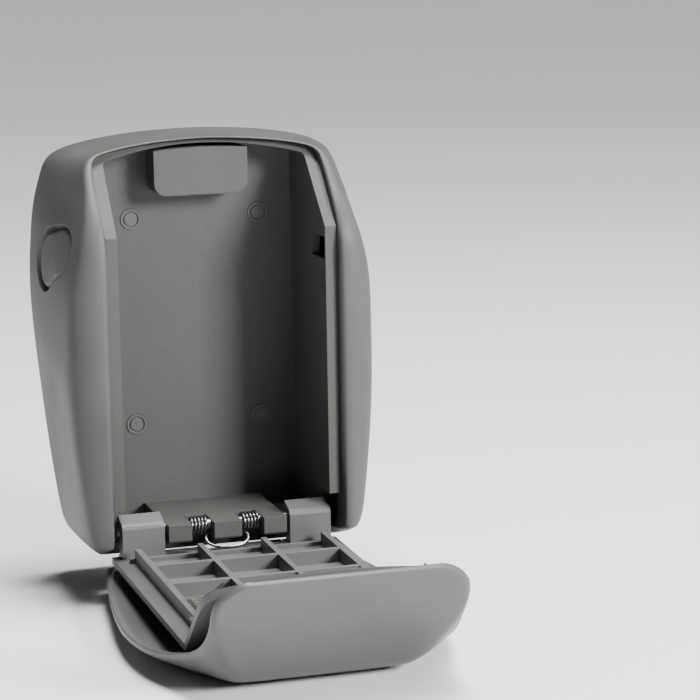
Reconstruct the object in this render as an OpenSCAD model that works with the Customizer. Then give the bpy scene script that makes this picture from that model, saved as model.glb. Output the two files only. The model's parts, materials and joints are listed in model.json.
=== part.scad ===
// Wall key box: a casing with a drop-down combination door and a hinged weather cover.
// X runs to the right, Y into the wall, Z up. The origin is the middle of the back face.
// Door and cover parts are modelled closed and then swung open, because open is the stored pose.

/* [Casing] */
// Half width of the casing at its widest
shell_half = 52.5; // [52:0.5:54]
// Distance from the wall to the outer face of the closed door
door_face = 46.2; // [46:0.1:46.6]
// Half width of the gap that the door closes
mouth_half = 37.2; // [37.1:0.1:37.6]
// Height of the side bullnose in front of the door's seam
bull_height = 2.2; // [1.5:0.1:2.3]
// Wall thickness of the sculpted shell
shell_wall = 2.4; // [1.8:0.1:2.6]

/* [Inner box] */
// Half width of the key space at the rim
cavity_half = 33.4; // [33.2:0.1:33.6]
// Half width of the key space at the back panel
cavity_half_back = 32.3; // [31.5:0.1:33]
// Height of the floor of the key space
floor_z = -55.3; // [-55.5:0.1:-55.1]
// Depth of the front of the back panel from the wall
panel_depth = 9; // [8.5:0.1:10]

/* [Wall fixing] */
// Sideways distance between the wall screws
screw_span_x = 42; // [40:0.5:44]
// Upright distance between the wall screws
screw_span_z = 67; // [64:0.5:68]
// Radius of a wall screw hole
screw_hole_r = 2.6; // [2:0.1:3]
// Radius of the plug over a wall screw
plug_r = 3.3; // [3.2:0.1:3.6]

/* [Door] */
// Angle from closed to open
open_angle = 91; // [88:0.5:92]
// Angle of the dial band behind the upright face
band_tilt = 43.5; // [43:0.1:44]
// Length of the dial band up its slope
band_length = 31.3; // [31:0.1:31.4]
// Height of the bend between face and band
bend_z = 37.9; // [37.6:0.1:38.2]
// Thickness of the door's face
door_wall = 2; // [1.8:0.1:2.1]
// Depth of the ribs behind the face
rib_depth = 4.4; // [3.5:0.1:4.6]

/* [Dials] */
// Radius of a dial wheel
wheel_r = 8.5; // [8.2:0.1:8.6]
// Width of a dial wheel
wheel_w = 5.7; // [5.2:0.1:5.8]
// Distance between neighbouring wheels
wheel_pitch = 11.4; // [11:0.1:11.5]

/* [Bolts] */
// How far a side bolt is thrown
bolt_travel = 2.5; // [1.5:0.1:2.6]

/* [Cover] */
// Thickness of the cover
cover_wall = 2; // [1.8:0.1:2.2]

/* [Hidden] */
$fn = 64;
paint = [0.47, 0.47, 0.46];
cast = [0.40, 0.40, 0.39];
steel = [0.75, 0.75, 0.74];
black = [0.08, 0.08, 0.09];
skip = 0.01;
running = 0.05;
pin_y = -36.65;
pin_z = -57.25;
pin_r = 1.75;
arch_z = 64.3;
arch_sag = 4.4;
floor_front = 30.6;
pocket_z = -59.4;
pocket_deep = 22;
lug_front = 42.6;
lug_top = -53.3;
lug_foot = -61;
rim_gap = 0.2;
rim_depth = door_face - door_wall - rim_gap;
plug_z = 4.5;
panel_wall = 2.5;
block_front = 19.4;
plate_wall = 2.5;
lug_in = 4.5;
lug_gap_out = 11.8;
lug_out = 19.3;
block_screw_x = 9;
block_screw_z = 53;
case_screw_head = 1.4;
lock_screw_x = 25;
lock_screw_z = [16, 25];
lever_z = 19;
knuckle_in = 20.5;
knuckle_out = 34.1;
flange_x = 30.3;
flange_wall = 2;
rib_wall = 1.8;
rib_x = 10.3;
rib_low = -47.4;
rib_rows = [-28, -7.5];
chest_low = 10;
dial_slope = 13.5;
dial_depth = 2.6;
axle_r = 1.2;
bolt_z = 30;
bolt_y = -41.1;
bolt_high = 6.4;
bolt_thick = 2.6;
tab_low = 23.2;
tab_neck = 2;
cover_pin_y = -47;
cover_pin_z = -60.4;
cover_pin_r = 1.25;
cover_pin_out = 33.4;

// Point on the door's face line at a depth d behind the outer face, k = 0 foot, 1 bend, 2 top.
function face_pt(d, k) =
    k == 0 ? [-door_face + d, -56]
    : k == 1 ? [-door_face + d, bend_z - d * tan(band_tilt / 2)]
    : [-door_face + band_length * sin(band_tilt) + d * cos(band_tilt),
       bend_z + band_length * cos(band_tilt) - d * sin(band_tilt)];
// Catmull-Rom spline through rows a, b, c, d at 0..1 between b and c.
function spline(a, b, c, d, t) =
    b + t * (c - a) / 2 + t * t * (2 * a - 5 * b + 4 * c - d) / 2
    + t * t * t * (3 * b - a - 3 * c + d) / 2;
function smooth_rows(rows, steps) =
    let (n = len(rows))
    concat([for (i = [0:n - 2], k = [0:steps - 1])
            spline(rows[max(i - 1, 0)], rows[i], rows[i + 1], rows[min(i + 2, n - 1)], k / steps)],
           [rows[n - 1]]);
// Two triangles for each cell of a grid of rings, closed along the ring, and round if looped.
function grid_faces(rings, points, looped) =
    [for (i = [0:rings - (looped ? 1 : 2)], j = [0:points - 1])
        let (a = i * points + j, b = i * points + (j + 1) % points,
             c = ((i + 1) % rings) * points + (j + 1) % points, d = ((i + 1) % rings) * points + j)
        each [[a, b, c], [a, c, d]]];

module along_x(from, to) {
    translate([from, 0, 0]) rotate([90, 0, 90]) linear_extrude(to - from) children();
}
module both_sides() {
    children();
    mirror([1, 0, 0]) children();
}
module rod_x(from, to, r, y, z) {
    translate([from, y, z]) rotate([0, 90, 0]) cylinder(h = to - from, r = r);
}
module rod_y(from, to, r, x, z) {
    translate([x, to, z]) rotate([90, 0, 0]) cylinder(h = to - from, r = r);
}
module opened() {
    translate([0, pin_y, pin_z]) rotate([open_angle, 0, 0]) translate([0, -pin_y, -pin_z])
        children();
}
// Local frame on the dial band: x across, z up the slope from the bend, y into the door.
module on_band() {
    translate([0, -door_face, bend_z]) rotate([-band_tilt, 0, 0]) children();
}
// Upright outline with an arched top, seen from the front. The corner circles touch the arch.
module arch_outline(half, low, high, corner, sag) {
    arch_r = (half * half + sag * sag) / (2 * sag);
    corner_z = high - arch_r + sqrt((arch_r - corner) ^ 2 - (half - corner) ^ 2);
    touch = (half - corner) * arch_r / (arch_r - corner);
    intersection() {
        union() {
            translate([-half, low]) square([2 * half, corner_z - low]);
            translate([-touch, low]) square([2 * touch, high - low]);
            for (side = [-1, 1])
                translate([side * (half - corner), corner_z]) circle(corner);
        }
        translate([0, high - arch_r]) circle(arch_r, $fn = 720);
    }
}
module front_prism(from_y, to_y) {
    translate([0, to_y, 0]) rotate([90, 0, 0]) linear_extrude(to_y - from_y) children();
}
// Everything between two depths behind the door's outer face, following its bend.
module face_layer(near, far, low) {
    polygon([[-door_face + near, low], face_pt(near, 1), face_pt(near, 2) + [8, 8 / tan(band_tilt)],
             face_pt(far, 2) + [8, 8 / tan(band_tilt)], face_pt(far, 1), [-door_face + far, low]]);
}

// ---- Casing -------------------------------------------------------------------------------

// Rows round one half, from the foot's middle to the top's middle:
// seam x, y, z, outline x, z, how much of the side bullnose there is, and how square the foot is.
shell_rows = [
    [0, -29.4, -61.8, 0, -66.9, 0, 1],
    [20, -29.4, -61.8, 20, -66.9, 0, 1],
    [34, -30, -61.8, 36, -66.7, 0, 1],
    [mouth_half, -37, -62, 41.4, -65, 0.1, 0.6],
    [mouth_half, -44.6, -60.3, 44.4, -60.3, 0.9, 0],
    [mouth_half, -46, -52.5, 46, -51.5, 1, 0],
    [mouth_half, -46, -37, 48, -37, 1, 0],
    [mouth_half, -46, -12, 50.6, -12, 1, 0],
    [mouth_half, -46, 6, shell_half - 0.2, 8, 1, 0],
    [mouth_half, -46, 20, shell_half + 0.1, 22, 0.93, 0],
    [mouth_half, -46, 33, shell_half - 0.7, 34, 0.55, 0],
    [mouth_half, -41.9, 42.2, 50.8, 43, 0.2, 0],
    [mouth_half, -34.8, 49.8, 48.4, 52.2, 0, 0],
    [36.6, -26.5, 58.6, 44.9, 59.3, 0, 0],
    [31, -23.8, 61.4, 33.5, 62.9, 0, 0],
    [16, -21.9, 63.5, 17.5, 65, 0, 0],
    [0, -21.1, 64.3, 0, shell_half + 13.2, 0, 0]];
// Thinnest wall of the shell, at the foot and the top.
thin_wall = 1.3;
bull_reach = 12.2;
bull_drop = 0.45;
bull_steps = 5;
flank_steps = 6;
shell_steps = 2;

// Width of the bullnose, from the seam to the shoulder where the flank starts.
function bull_width(row, out) = min(bull_reach, out * 0.95) * (0.35 + 0.65 * max(row[5], row[6]));
// Outline of one section: [distance out from the seam, depth y], seam first, back edge last.
function section(row) =
    let (out = norm([row[3] - row[0], row[4] - row[2]]), bull = bull_width(row, out),
         crest = bull_height * row[5] + min(0.35 * bull, 0.9) * (1 - row[5]),
         start = row[1] + bull * bull_drop)
    concat([for (k = [0:bull_steps]) let (t = k / bull_steps)
            [bull / 2 * (1 - cos(180 * t)),
             row[1] - crest * sin(180 * t) + bull * bull_drop * t * t]],
           [for (k = [1:flank_steps]) let (t = k / flank_steps)
            [bull + (out - bull) * sin(90 * t) ^ (1 - 0.8 * row[6]), start * (1 - t)]]);
function inner_section(row) =
    let (line = section(row), n = len(line), lip = 7, near = min(0.9, line[n - 1][0] - thin_wall),
         shoulder = line[bull_steps][0])
    concat([for (k = [n - 1:-1:n - 4]) [max(line[k][0] - shell_wall, near), line[k][1]]],
           [[max(0.72 * shoulder - 0.8, near), row[1] + lip + 2.2],
            [min(0.6, near), row[1] + lip + 1.5], [0, row[1] + lip]]);
function ring(row) =
    let (out = norm([row[3] - row[0], row[4] - row[2]]),
         dir = [row[3] - row[0], row[4] - row[2]] / out)
    [for (p = concat(section(row), inner_section(row)))
        [row[0] + dir[0] * p[0], p[1], row[2] + dir[1] * p[0]]];

module outer_shell() {
    half = smooth_rows(shell_rows, shell_steps);
    left = [for (i = [len(half) - 2:-1:1])
            [-half[i][0], half[i][1], half[i][2], -half[i][3], half[i][4], half[i][5], half[i][6]]];
    rows = concat(half, left);
    size = len(ring(rows[0]));
    color(paint) polyhedron(points = [for (r = rows) each ring(r)],
                            faces = grid_faces(len(rows), size, true));
}

// Outline of the back edge of the shell, drawn in by an inset.
module back_outline(inset) {
    half = smooth_rows(shell_rows, shell_steps);
    right = [for (r = half) let (out = norm([r[3] - r[0], r[4] - r[2]]), k = 1 - inset / out)
             [r[0] + (r[3] - r[0]) * k, r[2] + (r[4] - r[2]) * k]];
    left = [for (i = [len(right) - 2:-1:1]) [-right[i][0], right[i][1]]];
    polygon(concat(right, left));
}

module wall_screw_places() {
    for (x = [-1, 1], z = [-1, 1])
        translate([x * screw_span_x / 2, 0, plug_z + z * screw_span_z / 2]) children();
}
module case_screw_places() {
    for (x = [-27, 27], z = [-47, 51]) translate([x, 0, z]) children();
}

module inner_box() {
    rim_front = -rim_depth;
    color(cast) difference() {
        union() {
            intersection() {
                front_prism(-60, -panel_depth + panel_wall)
                    arch_outline(cavity_half + 2.4, floor_z - 2.5, arch_z - 0.2, 5, arch_sag);
                along_x(-50, 50) polygon([[-panel_depth + panel_wall, -58], [-floor_front, -58],
                    [-floor_front, -49], [rim_front, -49], face_pt(door_wall + rim_gap, 1),
                    face_pt(door_wall + rim_gap, 2) + [8, 8 / tan(band_tilt)],
                    [-panel_depth + panel_wall, 75]]);
            }
            intersection() {
                front_prism(-60, 0)
                    arch_outline(mouth_half - 0.2, -49, arch_z - 0.2, 5.6, arch_sag);
                along_x(-50, 50) face_layer(door_wall + rim_gap, door_wall + rim_gap + 3, -49);
            }
            wall_screw_places() rod_y(-panel_depth, -plate_wall - 0.1, 5.4, 0, 0);
            case_screw_places() rod_y(-panel_depth, -plate_wall - 0.1, 4, 0, 0);
            for (x = [[-lug_in, lug_in], [lug_gap_out, lug_out], [-lug_out, -lug_gap_out]])
                along_x(x[0], x[1])
                    polygon([[1 - floor_front, -57.6], [1 - floor_front, lug_top],
                             [-lug_front, lug_top], [-lug_front, lug_foot + 0.6],
                             [0.6 - lug_front, lug_foot], [-34.5, lug_foot]]);
            both_sides() translate([lug_out - 1, -floor_front, pocket_z - 1.8])
                cube([cavity_half - lug_out + 2, floor_front - panel_depth + 1.5, 4]);
        }
        hull() {
            front_prism(-60, -59.9)
                arch_outline(cavity_half + 0.3, floor_z, arch_z - 1.5, 1.8, arch_sag, $fn = 32);
            front_prism(-panel_depth - 0.1, -panel_depth)
                arch_outline(cavity_half_back, floor_z, arch_z - 1.7, 1.8, arch_sag, $fn = 32);
        }
        // Deep ends of the floor, behind the door's knuckles.
        both_sides() translate([lug_out, -panel_depth - pocket_deep, pocket_z])
            cube([cavity_half_back - lug_out, pocket_deep, 5]);
        // The floor stops short of the mouth, so that only the lugs reach the pin.
        for (x = [-lug_gap_out, lug_in])
            translate([x, -60, -70]) cube([lug_gap_out - lug_in, 27, 20]);
        both_sides() translate([lug_out, -60, -70]) cube([30, 60 - floor_front, 20]);
        wall_screw_places() {
            rod_y(-20, 1, screw_hole_r, 0, 0);
            rod_y(-20, -panel_depth + 1.6, plug_r + running, 0, 0);
        }
        case_screw_places() rod_y(-panel_depth + 1.2, 0, 1.3, 0, 0);
        for (x = [-1, 1]) rod_y(-20, 0, 1.3, x * block_screw_x, block_screw_z);
        rod_x(-25, 25, pin_r + skip, pin_y, pin_z);
        both_sides() translate([cavity_half - 1.5, -43, bolt_z - 3.6])
            cube([bolt_travel + 2.2, 13, 7.2]);
    }
}

module back_plate() {
    color(cast) difference() {
        front_prism(-plate_wall, 0) back_outline(shell_wall + 0.5);
        wall_screw_places() rod_y(-5, 1, screw_hole_r, 0, 0);
        case_screw_places() {
            rod_y(-5, 1, 1.5, 0, 0);
            rod_y(-case_screw_head, 1, 3, 0, 0);
        }
    }
}

module case_screws() {
    color(steel) case_screw_places() difference() {
        union() {
            rod_y(-6.8, -case_screw_head, 1.25, 0, 0);
            rod_y(-case_screw_head, -0.2, 2.9, 0, 0);
        }
        translate([-1.8, -0.9, -0.3]) cube([3.6, 2, 0.6]);
        translate([-0.3, -0.9, -1.8]) cube([0.6, 2, 3.6]);
    }
}

// Matte block at the top of the back wall, rounded at its lower corners.
module top_block() {
    half = 15.3;
    low = 46;
    corner = 4;
    color(paint) difference() {
        front_prism(-block_front, -panel_depth - skip) intersection() {
            union() {
                translate([-half, low + corner]) square([2 * half, 20]);
                translate([corner - half, low]) square([2 * (half - corner), 20]);
                for (side = [-1, 1])
                    translate([side * (half - corner), low + corner]) circle(corner);
            }
            arch_outline(mouth_half, low, arch_z - 3, 5, arch_sag);
        }
        for (x = [-1, 1])
            rod_y(-block_front + 5.4, 0, 1.3, x * block_screw_x, block_screw_z);
    }
}

module block_screws() {
    seat = -panel_depth + panel_wall + skip;
    color(steel) for (x = [-block_screw_x, block_screw_x]) {
        rod_y(-block_front + 5.8, seat, 1.25, x, block_screw_z);
        rod_y(seat, seat + 1.5, 2.6, x, block_screw_z);
    }
}

module hole_plugs() {
    color(cast) wall_screw_places() difference() {
        rod_y(-panel_depth - 0.3, -panel_depth + 1.6 - skip, plug_r, 0, 0);
        difference() {
            rod_y(-panel_depth - 1, -panel_depth + 0.1, plug_r - 0.7, 0, 0);
            rod_y(-panel_depth - 2, -panel_depth + 1, plug_r - 1.2, 0, 0);
        }
    }
}

module hinge_pin() {
    color(steel) rod_x(-34.9, 34.9, pin_r, pin_y, pin_z);
}

// ---- Door ---------------------------------------------------------------------------------

module door_knuckle() {
    top_r = 2.9;
    // Closed profile: a block from the face past the pin, with a sloping back.
    along_x(knuckle_in, knuckle_out) union() {
        polygon([[-door_face + door_wall - 0.5, pin_z + 5.4], [-door_face + door_wall - 0.5, -56.2],
                 [pin_y - 1, pin_z - top_r], [pin_y, pin_z - top_r],
                 [pin_y + top_r + 1.6, pin_z - 1.9], [pin_y + top_r + 2.4, pin_z - 1.1],
                 [pin_y + top_r + 0.6, pin_z + 4.2], [pin_y + top_r - 0.1, pin_z + 5.1],
                 [pin_y + top_r - 1, pin_z + 5.4]]);
        translate([pin_y, pin_z]) circle(top_r);
    }
}
module cover_lug() {
    along_x(knuckle_in, cover_pin_out) union() {
        translate([cover_pin_y, cover_pin_z]) circle(2.3);
        polygon([[-door_face + 0.02, -55], [-door_face + door_wall - 0.02, -55],
                 [cover_pin_y + 2.2, cover_pin_z], [cover_pin_y - 1.5, cover_pin_z + 1.5]]);
    }
}

module door_panel() {
    inside = -door_face + door_wall;
    rib_back = inside + rib_depth;
    foot_half = cavity_half - 0.4;
    color(paint) difference() {
        union() {
            intersection() {
                front_prism(-60, 0)
                    arch_outline(mouth_half - 0.4, -56, arch_z - 0.4, 5.8, arch_sag);
                along_x(-50, 50) face_layer(0, door_wall, -56);
            }
            // Flanges, which run up into the band, and the thick block that holds the axle.
            intersection() {
                front_prism(-60, 0) arch_outline(flange_x + flange_wall / 2, -70, 55.6, 5, 1.2);
                both_sides() along_x(flange_x - flange_wall / 2, flange_x + flange_wall / 2)
                    face_layer(door_wall - 0.1, door_wall + rib_depth, rib_low);
            }
            both_sides() along_x(rib_x - rib_wall / 2, rib_x + rib_wall / 2)
                polygon([[inside - 0.1, rib_low], [rib_back, rib_low], [rib_back, chest_low],
                         [inside - 0.1, chest_low]]);
            for (z = rib_rows)
                translate([-flange_x, inside - 0.1, z - rib_wall / 2])
                    cube([2 * flange_x, rib_depth + 0.1, rib_wall]);
            translate([-foot_half, inside - 0.1, rib_low - 0.6]) cube([2 * foot_half, 1.6, 1.4]);
            both_sides() door_knuckle();
            both_sides() cover_lug();
            on_band() translate([-23, 1, dial_slope - 4]) cube([46, 4.6, 8]);
        }
        rod_x(-40, 40, pin_r + running, pin_y, pin_z);
        rod_x(-40, 40, cover_pin_r + skip, cover_pin_y, cover_pin_z);
        on_band() {
            rod_x(-25, 25, axle_r + skip, dial_depth, dial_slope);
            for (i = [-1.5:1.5])
                translate([i * wheel_pitch - wheel_w / 2 - 0.35, -1, dial_slope - 9])
                    cube([wheel_w + 0.7, 12, 18]);
            // Shallow stadium round the four wheels.
            translate([0, 0.6, dial_slope]) rotate([90, 0, 0]) linear_extrude(2) union() {
                translate([-19, -5.5]) square([38, 11]);
                for (x = [-19, 19]) translate([x, 0]) circle(5.5);
            }
            translate([-3.1, -1, tab_low - 0.2]) cube([6.2, 2, 12]);
            translate([-2.3, -1, tab_low - 0.2]) cube([4.6, 12, tab_neck + bolt_travel + 0.4]);
        }
        // Windows for the side bolts.
        translate([-40, bolt_y - bolt_thick / 2 - 0.2, bolt_z - bolt_high / 2 - 0.2])
            cube([80, bolt_thick + 0.4, bolt_high + 0.4]);
    }
}

module spring_coil(from, to) {
    translate([from, pin_y, pin_z]) rotate([0, 90, 0]) rotate_extrude()
        translate([2, 0]) square([1.1, to - from]);
}
module torsion_spring() {
    reach_y = pin_y - 6.4;
    reach_z = pin_z + 7.4;
    wire = 0.5;
    color(steel) union() {
        for (s = [[lug_in + 0.4, lug_gap_out - 0.4], [-lug_gap_out + 0.4, -lug_in - 0.4]])
            spring_coil(s[0], s[1]);
        rod_x(-5.6, 5.6, wire, reach_y, reach_z);
        both_sides() translate([5.6, reach_y, reach_z]) sphere(wire);
        both_sides() translate([5.6, pin_y - 2.6, pin_z]) rotate([27.2, 0, 0])
            cylinder(h = 8.3, r = wire);
    }
}

module lock_housing() {
    inside = -door_face + door_wall + skip;
    tall = 4.6;
    half = flange_x - flange_wall / 2 - 0.1;
    color(cast) difference() {
        union() {
            translate([-half, inside, chest_low + 0.1]) cube([2 * half, tall, 2.2]);
            for (x = [-half, half - 2.4])
                translate([x, inside, chest_low + 0.1]) cube([2.4, tall, 25]);
            for (x = [-12, 10])
                translate([x, inside, chest_low + 2]) cube([2, tall, 12.6]);
            for (x = [-lock_screw_x, lock_screw_x], z = lock_screw_z) rod_y(inside, inside + tall, 2, x, z);
        }
        for (x = [-lock_screw_x, lock_screw_x], z = lock_screw_z) rod_y(inside + 1, 0, 1.05, x, z);
        translate([-40, bolt_y - bolt_thick / 2 - 0.2, bolt_z - bolt_high / 2 - 0.2])
            cube([80, bolt_thick + 0.4, bolt_high + 0.4]);
    }
}

module lock_cover() {
    low = -door_face + door_wall + 4.6 + 2 * skip;
    color(steel) difference() {
        translate([-flange_x + 1.6, low, chest_low + 0.6]) cube([2 * flange_x - 3.2, 0.8, 24]);
        for (x = [-lock_screw_x, lock_screw_x], z = lock_screw_z) rod_y(-60, 0, 1.15, x, z);
        rod_y(-60, 0, 1.5 + running, 0, lever_z);
    }
}

module lock_screws() {
    top = -door_face + door_wall + 5.4 + 3 * skip;
    color(steel) for (x = [-lock_screw_x, lock_screw_x], z = lock_screw_z) difference() {
        union() {
            rod_y(top - 4.4, top, 1, x, z);
            rod_y(top, top + 0.7, 1.9, x, z);
        }
        translate([x - 2, top + 0.4, z - 0.25]) cube([4, 1, 0.5]);
    }
}

// Flat bolt with a sloped nose, drawn back so that its nose is flush with the flange.
module bolt_bar() {
    back = -door_face + door_wall + 0.3;
    along = bolt_thick - 0.2;
    color(steel) union() {
        intersection() {
            translate([13, bolt_y - along / 2, bolt_z - bolt_high / 2])
                cube([19.6, along, bolt_high]);
            translate([0, 0, bolt_z - bolt_high / 2]) linear_extrude(bolt_high)
                polygon([[10, bolt_y - along / 2], [31, bolt_y - along / 2],
                         [32.6, bolt_y + along / 2 - 0.5], [32.6, bolt_y + along / 2],
                         [10, bolt_y + along / 2]]);
        }
        translate([13, back, bolt_z - bolt_high / 2]) cube([3, bolt_y - back, bolt_high - 1]);
    }
}
module bolt_right() {
    bolt_bar();
}
module bolt_left() {
    mirror([1, 0, 0]) bolt_bar();
}
module bolt_spring() {
    color(steel) translate([-12.4, bolt_y, bolt_z]) rotate([0, 90, 0]) rotate_extrude()
        translate([0.9, 0]) square([0.5, 24.8]);
}

// Finger tab at the top of the band, with a stem that runs behind the wheels' block.
module release_tab() {
    step = dial_slope + 5;
    color(cast) on_band() union() {
        translate([-2.9, -0.7, tab_low]) cube([5.8, 1.5, band_length - 2.8 - tab_low]);
        translate([-2, 0, tab_low]) cube([4, 3.2, tab_neck]);
        translate([-2, 2.15, step]) cube([4, 1.05, tab_low + 0.5 - step]);
        translate([-2, 2.15, step]) cube([4, 4.65, 1.1]);
        translate([-2, 5.75, 2]) cube([4, 1.05, step - 1.9]);
    }
}

module code_lever() {
    top = -door_face + door_wall + 5.5 + 4 * skip;
    color(steel) union() {
        rod_y(top - 1.4, top + 0.8, 1.5, 0, lever_z);
        translate([-1.1, top, lever_z - 6.4]) cube([2.2, 0.8, 6.4]);
        rod_y(top, top + 0.8, 2.4, 0, lever_z);
    }
}

module dial_axle() {
    color(steel) on_band() rod_x(-23.6, 23.6, axle_r, dial_depth, dial_slope);
}

module detent_spring() {
    color(steel) on_band() union() {
        for (x = [-23, 2.6]) translate([x, 6.6, 1.3]) cube([20.4, 0.4, 4]);
    }
}

module dial_wheel(i) {
    notch = 0.35;
    color(black) on_band() translate([(i - 2.5) * wheel_pitch, dial_depth, dial_slope])
        rotate([0, 90, 0]) difference() {
            translate([0, 0, -wheel_w / 2]) cylinder(h = wheel_w, r = wheel_r);
            translate([0, 0, -wheel_w]) cylinder(h = 2 * wheel_w, r = 4.65);
            for (k = [0:9]) rotate([0, 0, 36 * k + 18])
                translate([wheel_r, 0, -wheel_w]) cylinder(h = 2 * wheel_w, r = notch, $fn = 16);
        }
}
// Hub with a gate: the gates of all four line up when the code is right.
module wheel_hub(i) {
    color(steel) on_band() translate([(i - 2.5) * wheel_pitch, dial_depth, dial_slope])
        rotate([0, 90, 0]) difference() {
            translate([0, 0, -wheel_w / 2 + 0.1]) cylinder(h = wheel_w - 0.2, r = 4.6);
            translate([0, 0, -wheel_w]) cylinder(h = 2 * wheel_w, r = axle_r + running);
            rotate([0, 0, 36 * i]) translate([3.2, -0.8, wheel_w / 2 - 2])
                cube([3, 1.6, 3]);
        }
}

// ---- Cover --------------------------------------------------------------------------------

module cover_pins() {
    color(steel) both_sides() rod_x(7.4, cover_pin_out, cover_pin_r, cover_pin_y, cover_pin_z);
}

module cover_leaf() {
    color(paint) difference() {
        union() {
            both_sides() along_x(7.8, 19.8) union() {
                translate([cover_pin_y, cover_pin_z]) circle(2.3);
                polygon([[cover_pin_y - 2.3, cover_pin_z], [cover_pin_y + 1, cover_pin_z - 2.1],
                         [-50.9, -60], [-50.9, -57]]);
            }
            translate([-28, -51.3, -60]) cube([56, 0.9, 7.8]);
        }
        rod_x(-40, 40, cover_pin_r + running, cover_pin_y, cover_pin_z);
    }
}

// Rows from the foot to the free edge:
// outer y, z, rim y, z, half width at the rim, half width of the flat middle, closed end 0 or 1.
cover_rows = [
    [-53.3, -60.2, -48.7, -60.2, 36.9, 30.5, 0],
    [-53.6, -56, -48.7, -56, 38.7, 31.5, 0],
    [-53.8, -44, -48.7, -44, 41.3, 33.5, 0],
    [-54.1, -26, -48.6, -26, 44.4, 36, 0],
    [-54.4, -8, -48.3, -8, 46.9, 38, 0],
    [-54.7, 8, -47.9, 8, 48.2, 38.6, 0],
    [-54.9, 20, -47.4, 20, 47.9, 37.8, 0],
    [-55, 30, -46.7, 30.5, 46.2, 32.6, 0],
    [-55, 38, -45.9, 38.5, 43.6, 28.4, 0],
    [-54.7, 45, -44.2, 44.5, 41.2, 25.8, 0],
    [-53.4, 50.4, -42.8, 49.6, 39.6, 25.2, 0],
    [-50.4, 55, -41, 54, 38.5, 26.4, 0],
    [-46, 59, -38.8, 58.2, 37.7, 29.4, 0],
    [-40.5, 63, -35.8, 61.9, 37.1, 32, 0],
    [-35.2, 66.4, -32.4, 64.8, 36.9, 34.8, 0],
    [-31, 69, -29.7, 67.1, 37, 35.6, 0],
    [-26.4, 71.2, -25.4, 69.2, 37.1, 35.9, 0],
    [-22.9, 72.6, -21.9, 70.8, 36, 34.8, 0],
    [-20.6, 73.5, -19.6, 71.8, 33.6, 32.4, 1],
    [-18.8, 74.2, -17.9, 72.5, 30.8, 29.6, 1],
    [-17.9, 74.5, -17.1, 72.9, 28.4, 27.4, 1]];
// Section of the bevel: share of the way in from the rim, and share of the depth.
bevel = [[0.03, 0.08], [0.12, 0.2], [0.5, 0.58], [0.88, 0.93], [1.05, 0.99]];

// Half a section: from the rim, down the lip and over the bevel to the flat middle.
function cover_half(row, inset) =
    let (o = [row[0], row[1]], r = [row[2], row[3]], deep = norm(o - r),
         reach = inset == 0 ? 1 : row[6] == 1 ? 0.04 : max(1 - inset / deep, 0.04),
         w = row[4] - inset, f = row[5] - inset * 0.4, lip = min(1.4 / deep, 0.5) * reach)
    concat([[w, r[0], r[1]], [w, (r + (o - r) * lip)[0], (r + (o - r) * lip)[1]]],
           [for (b = bevel) let (p = r + (o - r) * (lip + (reach - lip) * b[1]))
            [w + (f - w) * b[0], p[0], p[1]]],
           [let (p = r + (o - r) * reach) [f - 3, p[0], p[1]]]);
function cover_ring(row) =
    let (out = cover_half(row, 0), in = cover_half(row, cover_wall), n = len(out),
         mid = [0, out[n - 1][1], out[n - 1][2]], mid_in = [0, in[n - 1][1], in[n - 1][2]])
    concat([for (k = [0:n - 1]) out[k]], [mid],
           [for (k = [n - 1:-1:0]) [-out[k][0], out[k][1], out[k][2]]],
           [for (k = [0:n - 1]) [-in[k][0], in[k][1], in[k][2]]], [mid_in],
           [for (k = [n - 1:-1:0]) in[k]]);

module weather_cover() {
    rings = [for (r = cover_rows) cover_ring(r)];
    size = len(rings[0]);
    last = (len(rings) - 1) * size;
    caps = [for (j = [0:size / 2 - 2]) let (a = j, b = j + 1, c = size - 2 - j, d = size - 1 - j)
            each [[b, a, d], [c, b, d], [last + a, last + b, last + d],
                  [last + b, last + c, last + d]]];
    color(paint) polyhedron(points = [for (r = rings) each r],
                            faces = concat(grid_faces(len(rings), size, false), caps));
}

outer_shell();
inner_box();
back_plate();
case_screws();
top_block();
block_screws();
hole_plugs();
hinge_pin();
opened() door_panel();
opened() torsion_spring();
opened() lock_housing();
opened() lock_cover();
opened() lock_screws();
opened() bolt_left();
opened() bolt_right();
opened() bolt_spring();
opened() release_tab();
opened() code_lever();
opened() dial_axle();
opened() detent_spring();
opened() dial_wheel(1);  // dial_wheel_1
opened() dial_wheel(2);  // dial_wheel_2
opened() dial_wheel(3);  // dial_wheel_3
opened() dial_wheel(4);  // dial_wheel_4
opened() wheel_hub(1);  // wheel_hub_1
opened() wheel_hub(2);  // wheel_hub_2
opened() wheel_hub(3);  // wheel_hub_3
opened() wheel_hub(4);  // wheel_hub_4
opened() cover_pins();
opened() cover_leaf();
opened() weather_cover();
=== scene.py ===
"""Looks for the wall key box: satin grey casting, pressed steel lock parts and black dials."""
import json
import math
import bmesh
import bpy
from mathutils import Matrix, Vector


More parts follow.
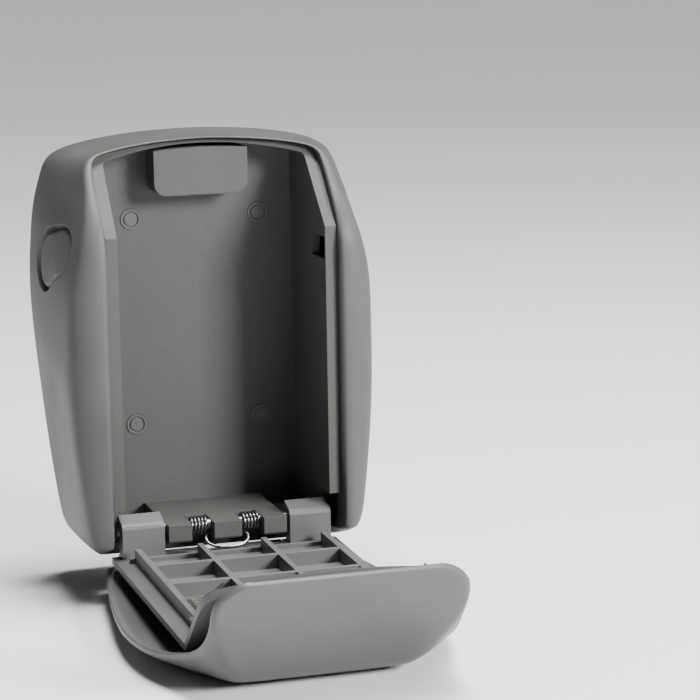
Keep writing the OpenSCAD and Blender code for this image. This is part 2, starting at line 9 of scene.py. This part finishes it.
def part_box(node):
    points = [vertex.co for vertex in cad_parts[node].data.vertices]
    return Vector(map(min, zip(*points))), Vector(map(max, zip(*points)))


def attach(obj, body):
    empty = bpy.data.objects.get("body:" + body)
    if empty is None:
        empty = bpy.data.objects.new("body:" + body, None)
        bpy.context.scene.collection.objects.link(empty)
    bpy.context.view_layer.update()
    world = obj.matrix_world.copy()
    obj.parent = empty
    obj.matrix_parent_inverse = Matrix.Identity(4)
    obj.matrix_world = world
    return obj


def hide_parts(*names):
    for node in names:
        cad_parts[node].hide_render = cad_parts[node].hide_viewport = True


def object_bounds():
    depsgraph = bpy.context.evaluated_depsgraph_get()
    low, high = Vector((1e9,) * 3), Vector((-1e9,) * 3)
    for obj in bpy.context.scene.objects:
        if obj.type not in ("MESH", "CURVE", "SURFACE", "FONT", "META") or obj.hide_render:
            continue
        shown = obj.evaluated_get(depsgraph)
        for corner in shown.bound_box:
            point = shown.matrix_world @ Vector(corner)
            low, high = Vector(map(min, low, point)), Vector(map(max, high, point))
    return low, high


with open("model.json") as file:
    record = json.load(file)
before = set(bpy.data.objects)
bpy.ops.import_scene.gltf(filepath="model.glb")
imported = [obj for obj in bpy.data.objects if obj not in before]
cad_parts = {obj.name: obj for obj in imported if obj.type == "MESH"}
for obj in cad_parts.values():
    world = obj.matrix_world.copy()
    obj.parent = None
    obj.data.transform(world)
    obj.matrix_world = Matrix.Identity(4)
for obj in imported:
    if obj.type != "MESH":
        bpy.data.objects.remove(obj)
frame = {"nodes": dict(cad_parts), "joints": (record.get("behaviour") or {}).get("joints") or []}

CAD_BOX = [list(corner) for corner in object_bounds()]
MM = 0.001
NODES = frame["nodes"]
OPEN_ANGLE = math.radians(91)
PIN = Vector(next(j["pos_m"] for j in frame["joints"] if j["name"] == "door_hinge"))


# ---- Camera, floor and light ---------------------------------------------------------------

CAMERA_TURN, CAMERA_RISE, CAMERA_LEAN = (math.radians(a) for a in (17.463, 10.574, -0.922))
CAMERA_TARGET = Vector((0.0547, 0.0, -0.0115))
CAMERA_DISTANCE = 0.8826
CAMERA_LENS, CAMERA_SENSOR = 135.64, 36.0


def look_camera():
    back = Vector((-math.sin(CAMERA_TURN) * math.cos(CAMERA_RISE),
                   -math.cos(CAMERA_TURN) * math.cos(CAMERA_RISE), math.sin(CAMERA_RISE)))
    right = (-back).cross(Vector((0, 0, 1))).normalized()
    up = right.cross(-back)
    side = math.cos(CAMERA_LEAN) * right + math.sin(CAMERA_LEAN) * up
    top = -math.sin(CAMERA_LEAN) * right + math.cos(CAMERA_LEAN) * up
    data = bpy.data.cameras.new("camera")
    data.lens = CAMERA_LENS
    data.sensor_width = CAMERA_SENSOR
    data.clip_start = 0.05
    camera = bpy.data.objects.new("camera", data)
    place = Matrix((side, top, back)).transposed().to_4x4()
    place.translation = CAMERA_TARGET + back * CAMERA_DISTANCE
    camera.matrix_world = place
    bpy.context.scene.collection.objects.link(camera)
    bpy.context.scene.camera = camera


def area_light(name, place, aim, size, power):
    data = bpy.data.lights.new(name, "AREA")
    data.shape = "RECTANGLE"
    data.size, data.size_y = size
    data.energy = power
    light = bpy.data.objects.new(name, data)
    light.location = place
    light.rotation_euler = (Vector(aim) - Vector(place)).to_track_quat("-Z", "Y").to_euler()
    bpy.context.scene.collection.objects.link(light)


def sky_light(place, power, spread):
    """Even light from far away, so that the floor stays pale all the way back."""
    data = bpy.data.lights.new("ceiling", "SUN")
    data.energy = power
    data.angle = math.radians(spread)
    light = bpy.data.objects.new("ceiling", data)
    light.rotation_euler = (-Vector(place)).to_track_quat("-Z", "Y").to_euler()
    bpy.context.scene.collection.objects.link(light)


def plain_world(strength):
    world = bpy.data.worlds.new("world")
    world.use_nodes = True
    sky = world.node_tree.nodes["Background"]
    sky.inputs["Color"].default_value = (1, 1, 1, 1)
    sky.inputs["Strength"].default_value = strength
    bpy.context.scene.world = world


def pale_floor(reach, gap):
    """One flat square just below the lowest point of the object."""
    low = CAD_BOX[0][2] - gap
    mesh = bpy.data.meshes.new("floor")
    mesh.from_pydata([(-reach, -reach, low), (reach, -reach, low), (reach, reach, low),
                      (-reach, reach, low)], [], [(0, 1, 2, 3)])
    floor = bpy.data.objects.new("floor", mesh)
    bpy.context.scene.collection.objects.link(floor)
    mesh.materials.append(plain_floor())


def studio():
    middle = (0, -0.06, -0.01)
    area_light("key", place=(0.6, -0.85, 0.4), aim=middle, size=(0.3, 0.3), power=24.0)
    area_light("top", place=(0.1, 0.0, 0.9), aim=middle, size=(0.4, 0.3), power=15.0)
    sky_light(place=(0.3, 0.0, 1.0), power=2.2, spread=40)
    plain_world(strength=0.06)
    pale_floor(reach=6.0, gap=0.4 * MM)


# ---- Materials -----------------------------------------------------------------------------

class Shader:
    """A small helper that adds nodes to one material."""

    def __init__(self, name, colour, roughness, metallic=0.0, shine=0.5):
        self.material = bpy.data.materials.new(name)
        self.material.use_nodes = True
        self.tree = self.material.node_tree
        self.base = self.tree.nodes["Principled BSDF"]
        self.base.inputs["Base Color"].default_value = (*colour, 1)
        self.base.inputs["Roughness"].default_value = roughness
        self.base.inputs["Metallic"].default_value = metallic
        self.base.inputs["Specular IOR Level"].default_value = shine
        self.where = self.node("ShaderNodeTexCoord").outputs["Object"]
        self.colour = colour

    def node(self, kind, **values):
        made = self.tree.nodes.new(kind)
        for key, value in values.items():
            setattr(made, key, value)
        return made

    def link(self, a, b):
        self.tree.links.new(a, b)

    def noise(self, scale, detail=3.0, stretch=(1, 1, 1)):
        place = self.node("ShaderNodeMapping")
        place.inputs["Scale"].default_value = stretch
        self.link(self.where, place.inputs["Vector"])
        made = self.node("ShaderNodeTexNoise")
        made.inputs["Scale"].default_value = scale
        made.inputs["Detail"].default_value = detail
        self.link(place.outputs["Vector"], made.inputs["Vector"])
        return made.outputs["Fac"]

    def ramp(self, source, low, high, left=0.0, right=1.0):
        """Runs from left to right while the source runs from low to high."""
        made = self.node("ShaderNodeMapRange")
        for socket, value in zip(("From Min", "From Max", "To Min", "To Max"),
                                 (low, high, left, right)):
            made.inputs[socket].default_value = value
        self.link(source, made.inputs["Value"])
        return made.outputs["Result"]

    def tint(self, factor, darker, lighter):
        """Base colour that runs between two brightnesses of the colour along a factor."""
        made = self.node("ShaderNodeMix", data_type="RGBA")
        made.inputs["A"].default_value = (*(c * darker for c in self.colour), 1)
        made.inputs["B"].default_value = (*(min(c * lighter, 1) for c in self.colour), 1)
        self.link(factor, made.inputs["Factor"])
        self.link(made.outputs["Result"], self.base.inputs["Base Color"])

    def gloss(self, source, smooth, rough):
        self.link(self.ramp(source, 0.3, 0.7, smooth, rough), self.base.inputs["Roughness"])

    def add(self, a, b):
        made = self.node("ShaderNodeMath", operation="ADD")
        self.link(a, made.inputs[0])
        self.link(b, made.inputs[1])
        return made.outputs["Value"]

    def bump(self, source, height, strength, soft_edge=0.0):
        """Fine relief; soft_edge is the radius that sharp edges seem to have."""
        made = self.node("ShaderNodeBump")
        made.inputs["Strength"].default_value = strength
        made.inputs["Distance"].default_value = height
        self.link(source, made.inputs["Height"])
        if soft_edge:
            round_off = self.node("ShaderNodeBevel", samples=4)
            round_off.inputs["Radius"].default_value = soft_edge
            self.link(round_off.outputs["Normal"], made.inputs["Normal"])
        self.link(made.outputs["Normal"], self.base.inputs["Normal"])


def plain_floor():
    made = Shader("studio_floor", (0.86, 0.86, 0.86), 0.6)
    made.tint(made.noise(scale=3.0), darker=0.985, lighter=1.0)
    return made.material


def powder_coat(name, colour, roughness=0.46, soft_edge=0.0):
    """Satin paint with metal flecks over a slightly uneven casting."""
    made = Shader(name, colour, roughness, metallic=0.08, shine=0.22)
    cloud = made.noise(scale=38.0, detail=4.0)
    fleck = made.noise(scale=5200.0, detail=1.0)
    peel = made.noise(scale=900.0, detail=2.0)
    made.tint(made.ramp(made.add(cloud, fleck), 0.7, 1.3), darker=0.86, lighter=1.12)
    made.gloss(cloud, roughness - 0.05, roughness + 0.07)
    made.bump(made.add(peel, fleck), 0.05 * MM, 0.35, soft_edge)
    return made.material


def raw_casting(name, colour, roughness=0.55, soft_edge=0.0, metallic=0.1):
    """Bare die casting: pebbled skin with faint flow marks."""
    made = Shader(name, colour, roughness, metallic, shine=0.25)
    skin = made.noise(scale=1500.0, detail=3.0)
    flow = made.noise(scale=70.0, detail=5.0, stretch=(1, 1, 0.35))
    made.tint(made.ramp(made.add(flow, skin), 0.7, 1.3), darker=0.9, lighter=1.08)
    made.gloss(flow, roughness - 0.08, roughness + 0.08)
    made.bump(made.add(skin, flow), 0.04 * MM, 0.3, soft_edge)
    return made.material


def bright_steel(name, colour=(0.62, 0.61, 0.59), roughness=0.28, stretch=(0.15, 1, 1)):
    """Drawn or pressed steel with fine marks along one direction."""
    made = Shader(name, colour, roughness, metallic=1.0)
    marks = made.noise(scale=2600.0, detail=2.0, stretch=stretch)
    stain = made.noise(scale=160.0, detail=4.0)
    made.tint(made.ramp(stain, 0.35, 0.7), darker=0.72, lighter=1.1)
    made.gloss(marks, roughness - 0.08, roughness + 0.14)
    made.bump(marks, 0.03 * MM, 0.3)
    return made.material


def moulded_black(name):
    """Black plastic with a faint grain."""
    roughness = 0.36
    made = Shader(name, (0.012, 0.012, 0.014), roughness)
    grain = made.noise(scale=1800.0, detail=2.0)
    made.tint(made.noise(scale=90.0), darker=0.8, lighter=1.5)
    made.gloss(grain, roughness - 0.05, roughness + 0.1)
    made.bump(grain, 0.03 * MM, 0.3, soft_edge=0.2 * MM)
    return made.material


def printed_white(name):
    """Slightly speckled white filling of the numerals."""
    made = Shader(name, (0.82, 0.82, 0.80), 0.5)
    speck = made.noise(scale=3000.0, detail=2.0)
    made.tint(speck, darker=0.88, lighter=1.04)
    made.bump(speck, 0.02 * MM, 0.3)
    return made.material


# ---- Mesh helpers --------------------------------------------------------------------------

def welded(node):
    """The CAD node's own mesh with its doubled points joined."""
    made = bmesh.new()
    made.from_mesh(NODES[node].data)
    bmesh.ops.remove_doubles(made, verts=made.verts, dist=0.002 * MM)
    return made


def in_mesh_order(work, chosen):
    """A set of edges as a list in the mesh's own order, so that each run gives the same mesh."""
    return [edge for edge in work.edges if edge in chosen]


def squareness(edge):
    """How near the two triangles at an edge come to one rectangle with the edge as diagonal."""
    worst = 0.0
    for face in edge.link_faces:
        apex = next(v for v in face.verts if v not in edge.verts)
        arms = [(v.co - apex.co).normalized() for v in edge.verts]
        worst = max(worst, abs(arms[0].dot(arms[1])))
    return worst


def grid_diagonals(seed_diagonal):
    """Diagonals of a grid of triangle pairs, found by walking from one of them."""
    owner = {f: seed_diagonal for f in seed_diagonal.link_faces}
    queue = list(owner)
    while queue:
        face = queue.pop()
        diagonal = owner[face]
        for edge in face.edges:
            if edge == diagonal:
                continue
            corner = next(v for v in edge.verts if v not in diagonal.verts)
            for other in edge.link_faces:
                if other not in owner:
                    apex = next(v for v in other.verts if v not in edge.verts)
                    found = next(e for e in other.edges if corner in e.verts and apex in e.verts)
                    owner[other] = found
                    queue.append(other)
    return {e for e in owner.values() if all(owner.get(f) == e for f in e.link_faces)}


def smooth_skin(node):
    """The CAD skin as a quad mesh, rounded by subdivision but kept sharp at its real edges."""
    levels, sharp_from, sharpness = 2, math.radians(38), 0.85
    seed_pool, seed_step = 120, 8
    work = welded(node)
    seeds = sorted(work.edges, key=squareness)[:seed_pool:seed_step]
    found = max((grid_diagonals(seed) for seed in seeds), key=len)
    bmesh.ops.dissolve_edges(work, edges=in_mesh_order(work, found), use_verts=False)
    odd = [f for f in work.faces if len(f.verts) == 3]
    bmesh.ops.join_triangles(work, faces=odd, angle_face_threshold=math.radians(40),
                             angle_shape_threshold=math.radians(180))
    crease = work.edges.layers.float.new("crease_edge")
    for edge in work.edges:
        if len(edge.link_faces) == 2 and edge.calc_face_angle(0.0) > sharp_from:
            edge[crease] = sharpness
    mesh = bpy.data.meshes.new("skin")
    work.to_mesh(mesh)
    work.free()
    holder = bpy.data.objects.new("skin", mesh)
    bpy.context.scene.collection.objects.link(holder)
    holder.modifiers.new("round", "SUBSURF").levels = levels
    made = bmesh.new()
    made.from_object(holder, bpy.context.evaluated_depsgraph_get())
    bpy.data.objects.remove(holder)
    made.normal_update()
    return made


def tube(points, radius, sides=12):
    """Round wire with closed ends that follows a line of points."""
    work = bmesh.new()
    rings = []
    normal = None
    for i, point in enumerate(points):
        ahead = points[min(i + 1, len(points) - 1)] - points[max(i - 1, 0)]
        ahead.normalize()
        if normal is None:
            normal = ahead.orthogonal().normalized()
        normal = (normal - ahead * normal.dot(ahead)).normalized()
        across = ahead.cross(normal)
        rings.append([work.verts.new(point + radius * (math.cos(a) * normal + math.sin(a) * across))
                      for a in (2 * math.pi * k / sides for k in range(sides))])
    for near, far in zip(rings, rings[1:]):
        for k in range(sides):
            work.faces.new((near[k], near[(k + 1) % sides], far[(k + 1) % sides], far[k]))
    work.faces.new(list(reversed(rings[0])))
    work.faces.new(rings[-1])
    return work


def turned(profile, steps, groove):
    """Solid of revolution about X from points (x, radius), with grooves cut into the outer ones."""
    work = bmesh.new()
    grooved_from = 0.8 * max(r for _, r in profile)
    rings = []
    for k in range(steps):
        angle = 2 * math.pi * k / steps
        ring = []
        for x, r in profile:
            cut = groove(angle) if r > grooved_from else 0.0
            ring.append(work.verts.new((x, -(r - cut) * math.cos(angle), (r - cut) * math.sin(angle))))
        rings.append(ring)
    count = len(profile)
    for k in range(steps):
        near, far = rings[k], rings[(k + 1) % steps]
        for j in range(count):
            work.faces.new((near[j], near[(j + 1) % count], far[(j + 1) % count], far[j]))
    bmesh.ops.recalc_face_normals(work, faces=work.faces)
    return work


def opened(work):
    """Turns a piece made in the closed position into the open rest position."""
    turn = Matrix.Translation(PIN) @ Matrix.Rotation(OPEN_ANGLE, 4, "X") @ Matrix.Translation(-PIN)
    bmesh.ops.transform(work, matrix=turn, verts=work.verts)
    return work


def finish_piece(work, name, body, nodes, material, smooth=True):
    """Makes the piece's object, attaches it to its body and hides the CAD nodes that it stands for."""
    mesh = bpy.data.meshes.new(name)
    work.to_mesh(mesh)
    work.free()
    piece = bpy.data.objects.new(name, mesh)
    bpy.context.scene.collection.objects.link(piece)
    for polygon in mesh.polygons:
        polygon.use_smooth = smooth
    mesh.materials.append(material)
    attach(piece, body)
    if nodes:
        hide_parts(*nodes)


# ---- Casing --------------------------------------------------------------------------------

# Thumb scoop in mm: its middle on the flank, and its outline as a radius with an oval and a pear part
SCOOP_Y, SCOOP_Z = -23.8, 29.9
SCOOP_RADIUS, SCOOP_OVAL, SCOOP_PEAR = 11.8, 2.7, 0.8
OVAL_TURN, PEAR_TURN, REAR_TURN = (math.radians(a) for a in (157, -10, 20))
# Its depths: the even floor, the groove along its rear edge, and a faint hollow further in
SCOOP_FLOOR, SCOOP_GROOVE, SCOOP_HOLLOW = 0.35, 2.4, 0.25
# The part of the flank that gets a finer mesh for it
FLANK_FROM, FINE_CUTS = 42, 5
FINE_Y, FINE_Z = (-43, -6), (15, 43)


def scoop_depth(y, z):
    """Depth of the thumb scoop at a point of the flank: a deep rear edge that fades to the front."""
    lip_width, groove_start, hollow_from = 0.5, 0.7, 4
    away = math.hypot(y - SCOOP_Y, z - SCOOP_Z)
    angle = math.atan2(z - SCOOP_Z, y - SCOOP_Y)
    edge = (SCOOP_RADIUS + SCOOP_OVAL * math.cos(2 * (angle - OVAL_TURN))
            - SCOOP_PEAR * math.cos(3 * (angle - PEAR_TURN)))
    inside = edge - away
    if inside <= 0:
        return 0.0
    lip = min(inside / lip_width, 1.0)
    rear = 0.5 + 0.5 * math.cos(angle - REAR_TURN)
    groove = math.exp(-max(inside - groove_start, 0.0) ** 2)
    hollow = min(inside / hollow_from, 1.0)
    return lip * (SCOOP_FLOOR + SCOOP_GROOVE * groove * rear ** 0.8 + SCOOP_HOLLOW * hollow * rear)


def casing_shell(material):
    work = smooth_skin("outer_shell")

    def on_flank(spot, normal):
        return abs(spot.x) > FLANK_FROM and normal.x * spot.x > 0

    def beside_scoop(face):
        spot = face.calc_center_median() / MM
        return (on_flank(spot, face.normal) and FINE_Y[0] < spot.y < FINE_Y[1]
                and FINE_Z[0] < spot.z < FINE_Z[1])

    near = {e for f in work.faces if beside_scoop(f) for e in f.edges}
    bmesh.ops.subdivide_edges(work, edges=in_mesh_order(work, near), cuts=FINE_CUTS,
                              use_grid_fill=True)
    work.normal_update()
    for vert in work.verts:
        spot = vert.co / MM
        if on_flank(spot, vert.normal):
            vert.co.x -= math.copysign(scoop_depth(spot.y, spot.z) * MM, spot.x)
    work.normal_update()
    finish_piece(work, "casing_shell", "root", ["outer_shell"], material)


# ---- Springs -------------------------------------------------------------------------------

def hinge_spring(material):
    """Double torsion spring: two coils on the pin and a bridge that presses on the door."""
    coil, wire, turns, steps = 2.5 * MM, 0.5 * MM, 5, 22
    start, inner, leg = 11.2 * MM, 5.6 * MM, 4.5 * MM
    reach, bridge, bridge_root, bridge_steps = 6.9 * MM, Vector((0, -5.9, 7.3)) * MM, 0.56, 8
    count = steps * turns
    points = [PIN + Vector((-start, -coil, -leg))]
    for k in range(count + 1):
        t = k / count
        angle = math.pi + 2 * math.pi * turns * (1 - t)
        x = -start + (start - inner) * t
        points.append(PIN + Vector((x, coil * math.cos(angle), coil * math.sin(angle))))
    for k in range(bridge_steps):
        turn = math.pi / 2 * k / bridge_steps
        out = bridge_root + (1 - bridge_root) * math.sin(turn) ** 0.7
        points.append(PIN + Vector((-reach * math.cos(turn), 0, 0)) + bridge * out)
    whole = points + [Vector((-p.x, p.y, p.z)) for p in reversed(points)]
    finish_piece(opened(tube(whole, wire)), "hinge_spring", "door", ["torsion_spring"],
                 material)


def bolt_coil(material):
    """Compression spring between the two side bolts, in the middle of its CAD node."""
    reach, coil, wire, turns, steps = 12.2 * MM, 1.1 * MM, 0.26 * MM, 15, 16
    low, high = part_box("bolt_spring")
    middle = (low + high) / 2
    count = steps * turns
    points = []
    for k in range(count + 1):
        t = k / count
        angle = 2 * math.pi * turns * t
        points.append(middle + Vector((-reach + 2 * reach * t, coil * math.cos(angle),
                                       coil * math.sin(angle))))
    finish_piece(tube(points, wire, 8), "bolt_coil", "door", ["bolt_spring"], material)


# ---- Dials ---------------------------------------------------------------------------------

BAND_TILT = math.radians(43.5)
BAND_FOOT = Vector((0, -46.2, 37.9)) * MM
BAND_OUT = Vector((0, -math.cos(BAND_TILT), math.sin(BAND_TILT)))
BAND_UP = Vector((0, math.sin(BAND_TILT), math.cos(BAND_TILT)))
AXLE_DEPTH, AXLE_RISE = 2.6 * MM, 13.5 * MM
DIAL_RADIUS, DIAL_HALF, DIAL_PITCH = 8.5 * MM, 2.85 * MM, 11.4 * MM
DIGITS = 10
DIGIT_STEP = 360 / DIGITS
SHOWN_CODE = (2, 0, 1, 0)


def dial_middle(number):
    """Middle of a dial in the closed door; the four stand in a row across the band."""
    sideways = (number - (len(SHOWN_CODE) + 1) / 2) * DIAL_PITCH
    return BAND_FOOT - BAND_OUT * AXLE_DEPTH + BAND_UP * AXLE_RISE + Vector((sideways, 0, 0))


def dial_wheel(number, material):
    bore, cheek, edge = 4.65 * MM, 1.3 * MM, 0.45 * MM
    lean, dip = 0.12 * MM, 0.08 * MM
    groove_depth, groove_width, steps = 0.42 * MM, 4.2, 180
    half, r = DIAL_HALF, DIAL_RADIUS
    flank = [(half, bore), (half, r - cheek), (half - lean, r - edge), (half - edge, r - dip),
             (half - 2 * edge, r)]
    profile = [(-x, radius) for x, radius in flank] + flank[::-1]

    def groove(angle):
        off = (math.degrees(angle) + DIGIT_STEP / 2) % DIGIT_STEP - DIGIT_STEP / 2
        return groove_depth * math.exp(-(off / groove_width) ** 2)

    work = turned(profile, steps, groove)
    bmesh.ops.rotate(work, verts=work.verts, cent=(0, 0, 0),
                     matrix=Matrix.Rotation(-BAND_TILT, 3, "X"))
    bmesh.ops.translate(work, verts=work.verts, vec=dial_middle(number))
    finish_piece(opened(work), "dial_%d_wheel" % number, "dial_%d" % number,
                 ["dial_wheel_%d" % number], material)


def flat_digit(digit):
    """Mesh of one plain numeral, lying flat with a little thickness."""
    data = bpy.data.curves.new("numeral", "FONT")
    data.body = str(digit)
    data.size = 4.9 * MM
    data.align_x, data.align_y = "CENTER", "CENTER"
    data.offset = 0.06 * MM
    data.extrude = 0.08 * MM
    data.resolution_u = 4
    holder = bpy.data.objects.new("numeral", data)
    bpy.context.scene.collection.objects.link(holder)
    mesh = bpy.data.meshes.new_from_object(
        holder.evaluated_get(bpy.context.evaluated_depsgraph_get()))
    bpy.data.objects.remove(holder)
    return mesh


def dial_numbers(number, shown, material):
    """Ten raised numerals round one wheel; the shown one stands above the index line."""
    work = bmesh.new()
    for digit in range(DIGITS):
        mesh = flat_digit(digit)
        sheet = bmesh.new()
        sheet.from_mesh(mesh)
        bmesh.ops.remove_doubles(sheet, verts=sheet.verts, dist=0.0001 * MM)
        base = math.radians(DIGIT_STEP / 2 + DIGIT_STEP * (digit - shown))
        for vert in sheet.verts:
            angle = base + vert.co.y / DIAL_RADIUS
            r = DIAL_RADIUS + vert.co.z
            vert.co = (dial_middle(number) + Vector((vert.co.x, 0, 0))
                       + r * (math.cos(angle) * BAND_OUT + math.sin(angle) * BAND_UP))
        sheet.to_mesh(mesh)
        sheet.free()
        work.from_mesh(mesh)
        bpy.data.meshes.remove(mesh)
    finish_piece(opened(work), "dial_%d_numbers" % number, "dial_%d" % number, [],
                 material, smooth=False)


# ---- Assembly ------------------------------------------------------------------------------

def paint_node(material, *names):
    for name in names:
        NODES[name].data.materials[0] = material


def build():
    body_paint = powder_coat("body_paint_satin", (0.088, 0.088, 0.087))
    casting = raw_casting("box_casting", (0.078, 0.080, 0.075), soft_edge=0.35 * MM)
    back_cast = raw_casting("back_casting", (0.10, 0.10, 0.10))
    door_paint = powder_coat("door_paint_satin", (0.125, 0.125, 0.122), soft_edge=0.3 * MM)
    cover_paint = powder_coat("cover_paint_satin", (0.105, 0.105, 0.104), roughness=0.38)
    leaf_paint = powder_coat("leaf_paint_satin", (0.09, 0.09, 0.09), soft_edge=0.3 * MM)
    block_paint = raw_casting("block_matte", (0.085, 0.085, 0.085), roughness=0.7,
                              soft_edge=0.6 * MM, metallic=0.0)
    plug_cast = raw_casting("plug_casting", (0.095, 0.095, 0.092), roughness=0.5,
                            soft_edge=0.2 * MM)
    lock_cast = raw_casting("lock_casting", (0.15, 0.15, 0.147), roughness=0.45,
                            soft_edge=0.2 * MM, metallic=0.6)
    lock_steel = bright_steel("lock_plate_steel")
    steel = bright_steel("pin_steel", (0.5, 0.5, 0.49), roughness=0.3, stretch=(1, 0.2, 0.2))
    spring_steel = bright_steel("spring_wire_steel", (0.28, 0.28, 0.28), roughness=0.24)
    black = moulded_black("dial_plastic")
    white = printed_white("numeral_white")
    casing_shell(body_paint)
    finish_piece(smooth_skin("weather_cover"), "cover_shell", "cover", ["weather_cover"],
                 cover_paint)
    hinge_spring(spring_steel)
    bolt_coil(spring_steel)
    for number, shown in enumerate(SHOWN_CODE, 1):
        dial_wheel(number, black)
        dial_numbers(number, shown, white)
    paint_node(casting, "inner_box")
    paint_node(back_cast, "back_plate")
    paint_node(steel, "case_screws", "block_screws", "hinge_pin", "cover_pins", "dial_axle")
    paint_node(block_paint, "top_block")
    paint_node(plug_cast, "hole_plugs")
    paint_node(door_paint, "door_panel")
    paint_node(lock_cast, "lock_housing", "release_tab", "wheel_hub_1", "wheel_hub_2",
               "wheel_hub_3", "wheel_hub_4")
    paint_node(lock_steel, "lock_cover", "lock_screws", "bolt_left", "bolt_right", "code_lever",
               "detent_spring")
    paint_node(leaf_paint, "cover_leaf")


look_camera()
studio()
build()
